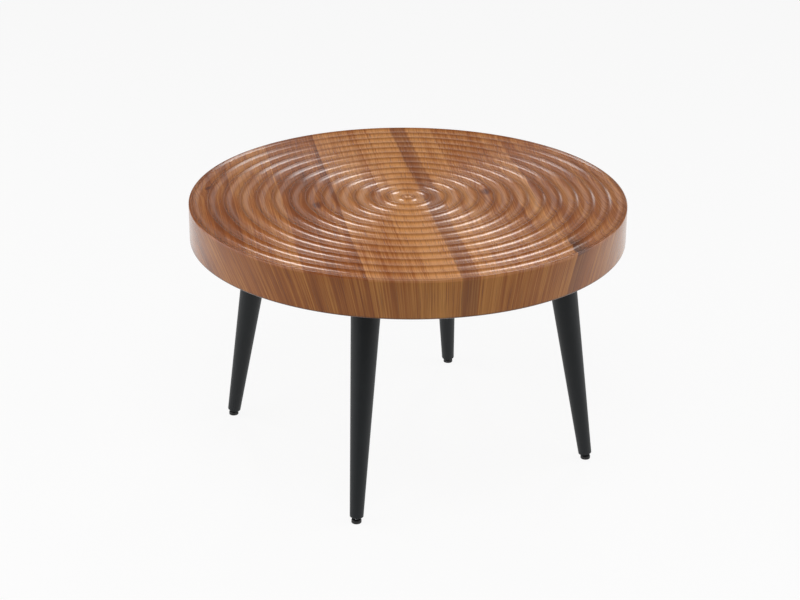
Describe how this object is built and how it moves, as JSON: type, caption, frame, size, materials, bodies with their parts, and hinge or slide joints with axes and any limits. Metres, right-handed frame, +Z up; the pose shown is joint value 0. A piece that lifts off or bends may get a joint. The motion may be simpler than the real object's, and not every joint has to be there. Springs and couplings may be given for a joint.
{
  "type": "round cocktail table",
  "caption": "Round cocktail table: thick drum top carved in concentric ripples, on splayed tapered legs with levelling swivel feet.",
  "frame": {"origin": "on the floor under the centre of the round top", "axes": "+Z up, front towards -Y, left towards -X, legs on the diagonals"},
  "size_m": [0.75, 0.75, 0.46],
  "materials": {
    "grain_film": "satin lacquered wood-grain film on fibreboard",
    "raw_board": "sealed fibreboard",
    "raw_timber": "planed timber",
    "black_paint": "satin black paint on turned timber",
    "zinc_steel": "zinc plated",
    "black_steel": "black zinc plated",
    "black_nylon": "moulded nylon"
  },
  "bodies": {
    "table": {"top_panel": "grain_film", "bottom_panel": "raw_board", "rim_front": "grain_film", "rim_right": "grain_film", "rim_back": "grain_film", "rim_left": "grain_film", "lower_core_rail": "raw_timber", "upper_core_rail": "raw_timber", "rim_dowels": "raw_timber", "panel_screws": "zinc_steel", "plate_screws": "zinc_steel", "hanger_bolts": "zinc_steel", "foot_inserts": "zinc_steel", "front_left_leg": "black_paint", "front_left_leg_plate": "zinc_steel", "front_left_leg_block": "raw_timber", "front_right_leg": "black_paint", "front_right_leg_plate": "zinc_steel", "front_right_leg_block": "raw_timber", "back_right_leg": "black_paint", "back_right_leg_plate": "zinc_steel", "back_right_leg_block": "raw_timber", "back_left_leg": "black_paint", "back_left_leg_plate": "zinc_steel", "back_left_leg_block": "raw_timber"},
    "front_left_stem": {"front_left_levelling_stem": "black_steel"},
    "front_left_pad": {"front_left_glide_pad": "black_nylon"},
    "front_right_stem": {"front_right_levelling_stem": "black_steel"},
    "front_right_pad": {"front_right_glide_pad": "black_nylon"},
    "back_right_stem": {"back_right_levelling_stem": "black_steel"},
    "back_right_pad": {"back_right_glide_pad": "black_nylon"},
    "back_left_stem": {"back_left_levelling_stem": "black_steel"},
    "back_left_pad": {"back_left_glide_pad": "black_nylon"}
  },
  "joints": [
    {"name": "front_left_level", "type": "slide", "parent": "table", "child": "front_left_stem", "axis": [-0.1143, -0.1143, -0.9869], "range_m": [0, 0.008]},
    {"name": "front_left_swivel", "type": "hinge", "parent": "front_left_stem", "child": "front_left_pad", "pos_m": [-0.23166, -0.23166, 0.0045], "axis": [0.7071, -0.7071, 0], "range_deg": [-21.3, 2.7]},
    {"name": "front_right_level", "type": "slide", "parent": "table", "child": "front_right_stem", "axis": [0.1143, -0.1143, -0.9869], "range_m": [0, 0.008]},
    {"name": "front_right_swivel", "type": "hinge", "parent": "front_right_stem", "child": "front_right_pad", "pos_m": [0.23166, -0.23166, 0.0045], "axis": [0.7071, 0.7071, 0], "range_deg": [-21.3, 2.7]},
    {"name": "back_right_level", "type": "slide", "parent": "table", "child": "back_right_stem", "axis": [0.1143, 0.1143, -0.9869], "range_m": [0, 0.008]},
    {"name": "back_right_swivel", "type": "hinge", "parent": "back_right_stem", "child": "back_right_pad", "pos_m": [0.23166, 0.23166, 0.0045], "axis": [-0.7071, 0.7071, 0], "range_deg": [-21.3, 2.7]},
    {"name": "back_left_level", "type": "slide", "parent": "table", "child": "back_left_stem", "axis": [-0.1143, 0.1143, -0.9869], "range_m": [0, 0.008]},
    {"name": "back_left_swivel", "type": "hinge", "parent": "back_left_stem", "child": "back_left_pad", "pos_m": [-0.23166, 0.23166, 0.0045], "axis": [-0.7071, -0.7071, 0], "range_deg": [-21.3, 2.7]}
  ]
}
